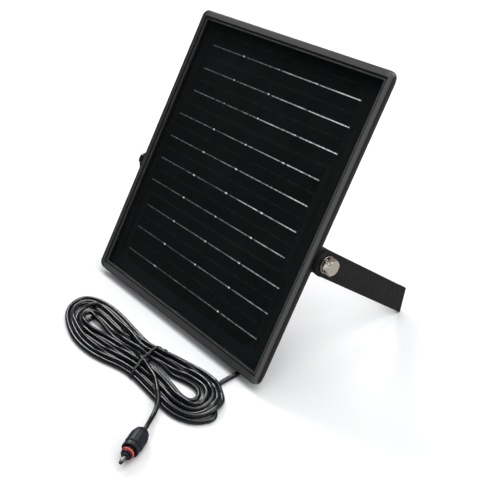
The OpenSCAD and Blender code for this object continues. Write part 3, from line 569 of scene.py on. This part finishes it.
def tube(name, path, radius, sides, material, body):
    """A closed tube along a path in the shared frame, with UVs along and around it."""
    p = np.asarray(path, float)
    n = len(p)
    radii = np.broadcast_to(radius, n)
    tangent = np.gradient(p, axis=0)
    tangent /= np.linalg.norm(tangent, axis=1)[:, None]
    side = np.cross(tangent[0], (0.0, 0.0, 1.0))
    side /= np.linalg.norm(side)
    verts = []
    for i in range(n):
        side = side - tangent[i] * np.dot(side, tangent[i])
        side /= np.linalg.norm(side)
        up = np.cross(side, tangent[i])
        for k in range(sides):
            a = 2 * math.pi * k / sides
            verts.append(p[i] + radii[i] * (math.cos(a) * side + math.sin(a) * up))
    faces = []
    for i in range(n - 1):
        for k in range(sides):
            j = (k + 1) % sides
            faces.append((i * sides + k, i * sides + j, (i + 1) * sides + j, (i + 1) * sides + k))
    faces.append(tuple(range(sides - 1, -1, -1)))
    faces.append(tuple((n - 1) * sides + k for k in range(sides)))
    o = add_mesh(name, verts, faces, material, body)
    uv = o.data.uv_layers.new(name="along")
    along = np.r_[0, np.cumsum(np.linalg.norm(np.diff(p, axis=0), axis=1))] / MM
    flat = np.zeros((len(o.data.loops), 2))
    at = 0
    for i in range(n - 1):
        for k in range(sides):
            flat[at:at + 4] = ((along[i], k / sides), (along[i], (k + 1) / sides),
                               (along[i + 1], (k + 1) / sides), (along[i + 1], k / sides))
            at += 4
    uv.data.foreach_set("uv", flat.ravel())
    return o


# ---------- the bedding under the glass ----------

BEDDING_TOP = -4.86                 # mm out of the panel's front face
BEDDING_LOW = -5.26
BEDDING_GRID = (90, 100)            # squares across and up


def ripple(x, y):
    """How far the bedding stands above or below its mean level, mm."""
    return 0.02 * math.sin(x * 0.9) * math.sin(y * 0.7) + 0.015 * math.sin(x * 0.23 + y * 0.31)


def bedding(materials):
    """A dark sheet that the cells lie half sunk in, with a low ripple round every cell."""
    low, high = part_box("back_sheet")
    half = high.x / MM
    y_top = (np.array(high) - np.array(PANEL)) @ np.array(UP_PANEL) / MM
    y_low = (np.array(low) - np.array(PANEL)) @ np.array(UP_PANEL) / MM
    nx, ny = BEDDING_GRID
    verts, faces = [], []
    for j in range(ny + 1):
        for i in range(nx + 1):
            x = -half + 2 * half * i / nx
            y = y_low + (y_top - y_low) * j / ny
            verts.append(on_panel(x, y, BEDDING_TOP + ripple(x, y)))
    row = nx + 1
    for j in range(ny):
        for i in range(nx):
            a = j * row + i
            faces.append((a, a + 1, a + 1 + row, a + row))
    rim = ([i for i in range(nx)] + [nx + j * row for j in range(ny)]
           + [nx - i + ny * row for i in range(nx)] + [(ny - j) * row for j in range(ny)])
    start = len(verts)
    for a in rim:
        v = verts[a]
        depth = (v - PANEL).dot(OUT_OF_GLASS) / MM - BEDDING_LOW
        verts.append(v - OUT_OF_GLASS * (depth * MM))
    m = len(rim)
    for k in range(m):
        faces.append((rim[(k + 1) % m], rim[k], start + k, start + (k + 1) % m))
    faces.append(tuple(start + k for k in range(m - 1, -1, -1)))
    o = add_mesh("bedding_sheet", verts, faces, materials["bedding"], "panel")
    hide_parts("encapsulant")
    return o


# ---------- the cable and its coil ----------

CABLE_R = 1.4                       # mm, where the gland and the plug grip it
SWELL = 0.15                        # how much fuller the free jacket is
SWELL_RUN = 12                      # over what length it reaches that
GLAND_RUN = 18                      # length held in the gland
PLUG_RUN = 10                       # length held in the plug
CABLE_STEP = 1.7                    # between the points of the path
CABLE_SIDES = 16
COIL_CENTRE = (24.3, -36.6)         # mm from EDGE
COIL_TURN = math.radians(4.1)
LOOPS = 7
CROSSING = 2.2                      # how far one turn is lifted where it crosses another
TURNS_APART = 0.04                  # clear gap kept between two turns

# The outermost and the innermost loop, clockwise from the right-hand end: mm along and across
OUTER = (
    (71.3, -3), (66.5, -13.5), (57, -18.3), (46.8, -19.5), (32.7, -17.9), (18.1, -16.3),
    (5, -15.0), (-8.3, -16.3), (-20.9, -19.2), (-37.2, -20.9), (-52.5, -19.4), (-65.8, -15),
    (-77.8, -8.7), (-85.3, -2.2), (-89.4, 6), (-87.6, 13.3), (-78.6, 18.2), (-65.1, 19.7),
    (-47.7, 17.9), (-28.8, 14.4), (-12, 12.4), (1, 14.4), (13.7, 17), (27.4, 18.2),
    (39.6, 18.3), (50.8, 16.4), (59.8, 14.0), (66.8, 8.8))
INNER = (
    (51.5, -2.0), (49.5, -4.8), (45, -5.6), (39, -5.4), (30, -3.2), (17, -1.2),
    (5, -1.4), (-8, -1.8), (-20, -2.4), (-35, -3.4), (-45, -5.4), (-53, -6.6),
    (-59, -6.0), (-62.5, -4.2), (-64.5, -1.2), (-64, 1.4), (-60, 3.2), (-54, 2.9),
    (-44, 1.2), (-28, 0.3), (-12, 1.0), (1, 1.4), (13, 1.8), (24, 3.4),
    (33, 5.6), (41, 6.4), (46.5, 5.4), (50.2, 2.4))
# Which place from the outside each loop takes at the right end, right bottom, waist bottom,
# left bottom, left end, left top, waist top and right top
PLACES = (
    (0, 0, 0, 0, 0, 0, 0, 0),
    (1, 1, 1, 1, 1, 1, 1, 1),
    (2, 2, 2, 2, 1.6, 3, 2, 2),
    (3, 3, 3, 3, 3, 2, 3, 3),
    (5, 4, 4, 4, 4, 4, 4, 4),
    (4, 5, 5, 5, 6, 5, 5, 6),
    (6, 6, 6, 6, 5, 6, 6, 5))
PLACE_OF_POINT = (0, 0, 1, 1, 1, 1, 2, 2, 3, 3, 3, 3, 4, 4, 4, 4, 5, 5, 5, 5, 6, 6, 6, 7, 7, 7, 0, 0)


def from_coil(p):
    """mm along, across and above the ground in the coil's own axes to metres in the shared frame."""
    c, s = math.cos(COIL_TURN), math.sin(COIL_TURN)
    x = COIL_CENTRE[0] + p[:, 0] * c - p[:, 1] * s
    y = COIL_CENTRE[1] + p[:, 0] * s + p[:, 1] * c
    return np.array(EDGE) + np.column_stack([x, y, p[:, 2]]) * MM


def to_coil(p):
    """The way back, from metres in the shared frame to mm in the coil's own axes."""
    q = (np.atleast_2d(p) - np.array(EDGE)) / MM
    c, s = math.cos(COIL_TURN), math.sin(COIL_TURN)
    x, y = q[:, 0] - COIL_CENTRE[0], q[:, 1] - COIL_CENTRE[1]
    return np.column_stack([x * c + y * s, -x * s + y * c, q[:, 2]])


def coil_plan():
    """The way the cable was wound: a point list from the panel lead to the plug lead."""
    rng = np.random.default_rng(7)
    points = []
    for k in range(LOOPS):
        after = PLACES[min(k + 1, LOOPS - 1)]
        last = k == LOOPS - 1
        for i, (out, inn) in enumerate(zip(OUTER, INNER)):
            if last and i > 20:
                break
            group = PLACE_OF_POINT[i]
            place = PLACES[k][group]
            if i >= 26:
                place = 0.5 * (PLACES[k][7] + after[0])
            share = np.clip((place + rng.normal(0, 0.05)) / (LOOPS - 1), -0.02, 1.04)
            uv = np.array(out) * (1 - share) + np.array(inn) * share
            upper = 1.0 if group in (2, 6) and k % 2 else 0.0
            layer = CABLE_R + 0.25 * k + CROSSING * upper + abs(rng.normal(0, 0.1))
            points.append((uv[0], uv[1], layer))
    return points


def near_pairs(p, reach):
    """Every two points of the cable that lie closer than reach, apart from close neighbours."""
    near = []
    for i in range(0, len(p), 256):
        d = ((p[i:i + 256, None, :] - p[None, :, :]) ** 2).sum(2)
        a, b = np.nonzero(d < reach ** 2)
        a = a + i
        keep = b - a > 6
        near.append(np.column_stack([a[keep], b[keep]]))
    return np.vstack(near)


def push_apart(p, pairs, gap, free):
    """Moves each pair that is closer than the gap half the way each, and a little over or under."""
    a, b = pairs[:, 0], pairs[:, 1]
    d = p[b] - p[a]
    length = np.linalg.norm(d, axis=1)
    deep = np.clip(gap - length, 0, None)
    push = d / np.maximum(length, 1e-6)[:, None] * (0.5 * deep)[:, None]
    push[:, 2] += np.where(deep > 0, 0.02, 0) * np.sign(d[:, 2] + 1e-6)
    move = np.zeros_like(p)
    count = np.zeros(len(p))
    np.add.at(move, a, -push)
    np.add.at(move, b, push)
    hit = deep > 0
    np.add.at(count, a[hit], 1)
    np.add.at(count, b[hit], 1)
    p += move / np.maximum(count, 1)[:, None] * 1.3 * free


def settle(p, fixed, rounds):
    """Lays the cable down: gravity, stiffness, and no two turns inside each other."""
    target = p.copy()
    bend = 0.5 * (target[:-2] + target[2:]) - target[1:-1]
    bend[:, 2] = 0
    free = (~fixed).astype(float)[:, None]
    gap = 2 * (CABLE_R + SWELL) + TURNS_APART
    for step in range(rounds):
        late = step > rounds * 0.75
        p[:, 2] -= 0.05 * free[:, 0] * (0.3 if late else 1.0)
        p[:, :2] += 0.02 * (target[:, :2] - p[:, :2]) * free
        for _ in range(2):
            mid = 0.5 * (p[:-2] + p[2:]) - p[1:-1] - bend
            p[1:-1] += 0.35 * mid * free[1:-1]
        if step % 6 == 0:
            pairs = near_pairs(p, gap + 1.6)
        for _ in range(3):
            push_apart(p, pairs, gap, free)
            p[:, 2] = np.maximum(p[:, 2], CABLE_R + SWELL)
    return p


def cable_path():
    """From the gland behind the panel, under its edge, through the coil and to the plug."""
    gland_low, gland_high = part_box("cable_gland")
    gland = (np.array(gland_low) + np.array(gland_high)) / 2
    gx = gland[0] / MM
    up = [(gx, 62), (gx, 55), (gx, 47), (gx + 9, 36), (48, 25), (67.5, 17), (73.6, 9.5)]
    deep = [-14.5, -14.5, -14.5, -14.3, -13.6, -13.2, -13.0]
    behind = np.array([on_panel(x, y, z) for (x, y), z in zip(up, deep)])
    under = np.array(EDGE) + np.array([(73.7, 10, 1.7), (73.5, 2, 1.5), (73.3, -7, 1.4)]) * MM
    first = to_coil(np.vstack([behind, under]))
    enter = [(50.8, 19, 1.4), (52.6, 11.5, 1.4), (59, 5.5, 1.4)]
    coil = coil_plan()
    axis = Vector(JOINTS["collar_spin"]["axis"])
    plug = Vector(JOINTS["collar_spin"]["pos_m"])
    tail = [plug - axis * (d * MM) for d in (12, 6)]
    tail = to_coil(np.array([tuple(t) for t in tail]))
    leave = [(-2.5, -2.5, 5), (4, -4, 6.5), (11.5, -6, 8), (21.5, -9, 8.8), (30, -14, 8.2),
             (37, -19, 7), (42.5, -25.5, 5.8), (47, -33, 5.2)]
    whole = np.vstack([first, enter, coil, leave, tail])
    path = resample(whole, CABLE_STEP)
    start = np.argmin(np.linalg.norm(path - first[-1], axis=1))
    fixed = np.zeros(len(path), bool)
    fixed[:start] = True
    fixed[np.argmin(np.linalg.norm(path - tail[0], axis=1)):] = True
    rounds = 320
    return settle(path, fixed, rounds)


def build_cable(materials):
    p = cable_path()
    p = smooth_path(p, 3)
    along = np.r_[0, np.cumsum(np.linalg.norm(np.diff(p, axis=0), axis=1))]
    from_end = np.minimum(along - GLAND_RUN, along[-1] - PLUG_RUN - along)
    radii = (CABLE_R + SWELL * np.clip(from_end / SWELL_RUN, 0, 1)) * MM
    o = tube("cable", from_coil(p), radii, CABLE_SIDES, materials["cable_pvc"], "panel")
    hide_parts("panel_cable")
    return p


def hull(points):
    """The outline round a set of flat points, as a rubber band would lie."""
    pts = sorted(map(tuple, points))

    def half(seq):
        out = []
        for q in seq:
            while len(out) > 1 and ((out[-1][0] - out[-2][0]) * (q[1] - out[-2][1])
                                    - (out[-1][1] - out[-2][1]) * (q[0] - out[-2][0])) <= 0:
                out.pop()
            out.append(q)
        return out
    return half(pts)[:-1] + half(pts[::-1])[:-1]


TIE_TOP = np.array((-3.0, 15.0))    # where the tie crosses the coil's two sides, mm
TIE_LOW = np.array((6.0, -17.0))
TIE_ALONG = (TIE_LOW - TIE_TOP) / np.linalg.norm(TIE_LOW - TIE_TOP)
TIE_ACROSS = np.array((-TIE_ALONG[1], TIE_ALONG[0]))
TIE_POINTS = 140
TIE_OFF = 0.35                      # how far the tie's middle stands off the cable
WIRE_R = 0.42                       # mm, of each twisted end


def tie_loop(p):
    """The tie's centre line, pulled tight round the turns: mm along the cut and above the ground."""
    rel = p[:, :2] - TIE_TOP
    along = rel @ TIE_ALONG
    cut = np.nonzero((np.abs(rel @ TIE_ACROSS) < 1.5) & (along > -3) & (along < 38))[0]
    reach = CABLE_R + TIE_OFF
    ring = []
    for i in cut:
        for k in range(16):
            a = 2 * math.pi * k / 16
            ring.append((along[i] + reach * math.cos(a), max(p[i, 2] + reach * math.sin(a), TIE_OFF)))
    outline = np.array(hull(ring))
    closed = np.vstack([outline, outline[:1]])
    length = np.r_[0, np.cumsum(np.linalg.norm(np.diff(closed, axis=0), axis=1))]
    even = np.linspace(0, length[-1], TIE_POINTS + 1)[:-1]
    loop = np.column_stack([np.interp(even, length, closed[:, i]) for i in range(2)])
    for _ in range(3):
        loop = 0.25 * np.roll(loop, 1, 0) + 0.5 * loop + 0.25 * np.roll(loop, -1, 0)
    return loop


def tie_band(materials, centre):
    """A flat plastic band with a wire down its middle, leaning a little from side to side."""
    verts, faces = [], []
    n = len(centre)
    wide, thick = 0.8, 0.28
    profile = [(-wide, -thick * 0.6), (-wide * 0.45, -thick), (wide * 0.45, -thick),
               (wide, -thick * 0.6), (wide, thick * 0.6), (wide * 0.3, thick), (0, thick * 1.5),
               (-wide * 0.3, thick), (-wide, thick * 0.6)]
    m = len(profile)
    side = np.append(TIE_ACROSS, 0)
    for i in range(n):
        t = centre[(i + 1) % n] - centre[i - 1]
        t /= np.linalg.norm(t)
        out = np.cross(t, side)
        lean = 0.225 * math.sin(4 * math.pi * i / n)
        for a, b in profile:
            verts.append(centre[i] + side * (a + lean) + out * b)
    for i in range(n):
        for k in range(m):
            j, h = (i + 1) % n, (k + 1) % m
            faces.append((i * m + k, j * m + k, j * m + h, i * m + h))
    verts = from_coil(np.array(verts))
    o = add_mesh("wire_tie", verts, faces, materials["gland_plastic"], "panel")
    fix_normals(o)
    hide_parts("cable_tie")


def tie_ends(materials, p, far):
    """The two ends, twisted together where they leave the band and laid on the turns."""
    f = np.arange(60) / 59
    twist = np.column_stack([far[0] + 0.6 + 8.5 * f, far[1] - 1.0 - 0.7 * f, np.zeros(60)])
    twist[:, 2] = [top_of(p, u, v) + 0.75 for u, v, _ in twist]
    twist = smooth_path(twist, 40, keep=1)
    for number, phase in enumerate((0, math.pi)):
        strand = twist.copy()
        strand[:, 1] += WIRE_R * np.cos(2 * math.pi * 3.2 * f + phase)
        strand[:, 2] += WIRE_R * np.sin(2 * math.pi * 3.2 * f + phase)
        tube(f"wire_tie_end_{number + 1}", from_coil(strand), WIRE_R * MM, 8,
             materials["gland_plastic"], "panel")


def build_tie(materials, p):
    """A flat wire tie pulled round the waist, twisted together at the far side."""
    loop = tie_loop(p)
    centre = np.array([np.append(TIE_TOP + TIE_ALONG * w, 0) for w, _ in loop])
    centre[:, 2] = loop[:, 1]
    tie_band(materials, centre)
    far = centre[np.argmin(loop[:, 0] + 0.4 * np.abs(loop[:, 1] - 6))]
    tie_ends(materials, p, far)


def top_of(p, u, v):
    """Height of the uppermost strand over a place in the coil's plan, mm."""
    away = np.hypot(p[:, 0] - u, p[:, 1] - v)
    over = away < CABLE_R
    if not over.any():
        return CABLE_R
    return (p[over, 2] + np.sqrt(CABLE_R ** 2 - away[over] ** 2)).max()


def fix_normals(o):
    bm = bmesh.new()
    bm.from_mesh(o.data)
    bmesh.ops.recalc_face_normals(bm, faces=bm.faces)
    bm.to_mesh(o.data)
    bm.free()


# ---------- floor, light and camera ----------

# Place and directions in the shared frame, metres; lens and sensor in mm
CAMERA_AT = Vector((0.388187, -0.401920, 0.343961))
CAMERA_LOOK = Vector((-0.66515, 0.57494, -0.47646))
CAMERA_UP = Vector((-0.36452, 0.30687, 0.87918))
CAMERA_LENS = 61.0
CAMERA_SENSOR = 36
CAMERA_SHIFT = (-0.02189, -0.07467)
SEEN_IN_GLOSS = 0.40                # how bright the room and floor look in reflections
ROOM_LIGHT = 0.9
FLOOR_HALF = 9.0                    # m


def add_camera():
    cam = bpy.data.cameras.new("camera")
    o = bpy.data.objects.new("camera", cam)
    bpy.context.scene.collection.objects.link(o)
    look = CAMERA_LOOK.normalized()
    up = (CAMERA_UP - look * CAMERA_UP.dot(look)).normalized()
    right = look.cross(up)
    turn = Matrix((right, up, -look)).transposed().to_4x4()
    turn.translation = CAMERA_AT
    o.matrix_world = turn
    cam.lens = CAMERA_LENS
    cam.sensor_width = CAMERA_SENSOR
    cam.shift_x, cam.shift_y = CAMERA_SHIFT
    cam.clip_start = 0.01
    cam.clip_end = 60
    bpy.context.scene.camera = o


def add_floor():
    me = bpy.data.meshes.new("floor")
    z = GROUND - 0.02 * MM
    corners = [(x * FLOOR_HALF, y * FLOOR_HALF, z) for x, y in ((-1, -1), (1, -1), (1, 1), (-1, 1))]
    me.from_pydata(corners, [], [(0, 1, 2, 3)])
    t = Tree("floor_paper")
    tone = t.mix(t.noise(3, 3.0), (0.86, 0.865, 0.87), (0.90, 0.90, 0.90))
    p = t.node("BsdfPrincipled")
    t.put(p.inputs["Base Color"], tone)
    p.inputs["Roughness"].default_value = 0.75
    p.inputs["Specular IOR Level"].default_value = 0.1
    dim = t.node("BsdfDiffuse")
    t.put(dim.inputs["Color"], (0.88 * SEEN_IN_GLOSS,) * 3)
    seen = t.node("MixShader")
    t.put(seen.inputs[0], t.node("LightPath").outputs["Is Glossy Ray"])
    t.put(seen.inputs[1], p.outputs[0])
    t.put(seen.inputs[2], dim.outputs[0])
    me.materials.append(t.finish(seen.outputs[0]))
    o = bpy.data.objects.new("floor", me)
    bpy.context.scene.collection.objects.link(o)


def add_light(name, place, target, size, power):
    light = bpy.data.lights.new(name, "AREA")
    light.shape = "RECTANGLE"
    light.size, light.size_y = size
    light.energy = power
    o = bpy.data.objects.new(name, light)
    bpy.context.scene.collection.objects.link(o)
    o.location = place
    o.rotation_euler = (Vector(target) - Vector(place)).to_track_quat("-Z", "Y").to_euler()


def mirrored(look):
    """Which way a line of sight goes on after it meets the glass."""
    look = look.normalized()
    return look - OUT_OF_GLASS * (2 * look.dot(OUT_OF_GLASS))


def add_kicker():
    """A small card that shows in the bolt head's front flat, which lies parallel to the glass."""
    bolt = PIVOT + Vector((PANEL_W / 2 + 8, 0, 0)) * MM
    add_light("kicker", bolt + mirrored(bolt - CAMERA_AT) * 0.5, bolt, (0.03, 0.03), 0.005)


def add_world():
    """A soft pale room, kept dark in the direction the glass mirrors towards the camera."""
    w = bpy.data.worlds.new("studio")
    bpy.context.scene.world = w
    w.use_nodes = True
    tree = w.node_tree
    tree.nodes.clear()
    new = tree.nodes.new
    coord = new("ShaderNodeTexCoord")
    dot = new("ShaderNodeVectorMath")
    dot.operation = "DOT_PRODUCT"
    dot.inputs[1].default_value = mirrored(CAMERA_LOOK)
    tree.links.new(coord.outputs["Generated"], dot.inputs[0])
    span = new("ShaderNodeMapRange")
    span.interpolation_type = "SMOOTHSTEP"
    for socket, v in zip(span.inputs, (0, 0.45, 0.82, 1.0, 0.0)):
        socket.default_value = v
    tree.links.new(dot.outputs["Value"], span.inputs[0])
    mix = new("ShaderNodeMix")
    mix.data_type = "RGBA"
    mix.inputs[6].default_value = (0.05, 0.055, 0.06, 1)
    mix.inputs[7].default_value = (0.62, 0.63, 0.64, 1)
    tree.links.new(span.outputs[0], mix.inputs[0])
    path = new("ShaderNodeLightPath")
    strength = new("ShaderNodeMapRange")
    strength.inputs["To Min"].default_value = ROOM_LIGHT
    strength.inputs["To Max"].default_value = ROOM_LIGHT * SEEN_IN_GLOSS
    tree.links.new(path.outputs["Is Glossy Ray"], strength.inputs["Value"])
    back = new("ShaderNodeBackground")
    tree.links.new(strength.outputs[0], back.inputs["Strength"])
    tree.links.new(mix.outputs[2], back.inputs["Color"])
    out = new("ShaderNodeOutputWorld")
    tree.links.new(back.outputs[0], out.inputs["Surface"])


def stage():
    add_floor()
    add_world()
    add_light("overhead", (0.15, 0.35, 1.5), (0, -0.1, 0), (1.6, 1.3), 17)
    add_light("sheen", (-1.0, 0.22, 0.92), (0.02, -0.18, 0), (0.36, 0.5), 8)
    add_light("side", (1.3, 0.5, 0.8), (0, -0.1, 0.08), (0.9, 0.9), 6.5)
    add_kicker()
    add_camera()
    bpy.context.scene.view_settings.view_transform = "Standard"


# ---------- everything in order ----------

materials = make_materials()
paint_nodes(materials)
bedding(materials)
laid = build_cable(materials)
build_tie(materials, laid)
stage()

bpy.context.view_layer.update()
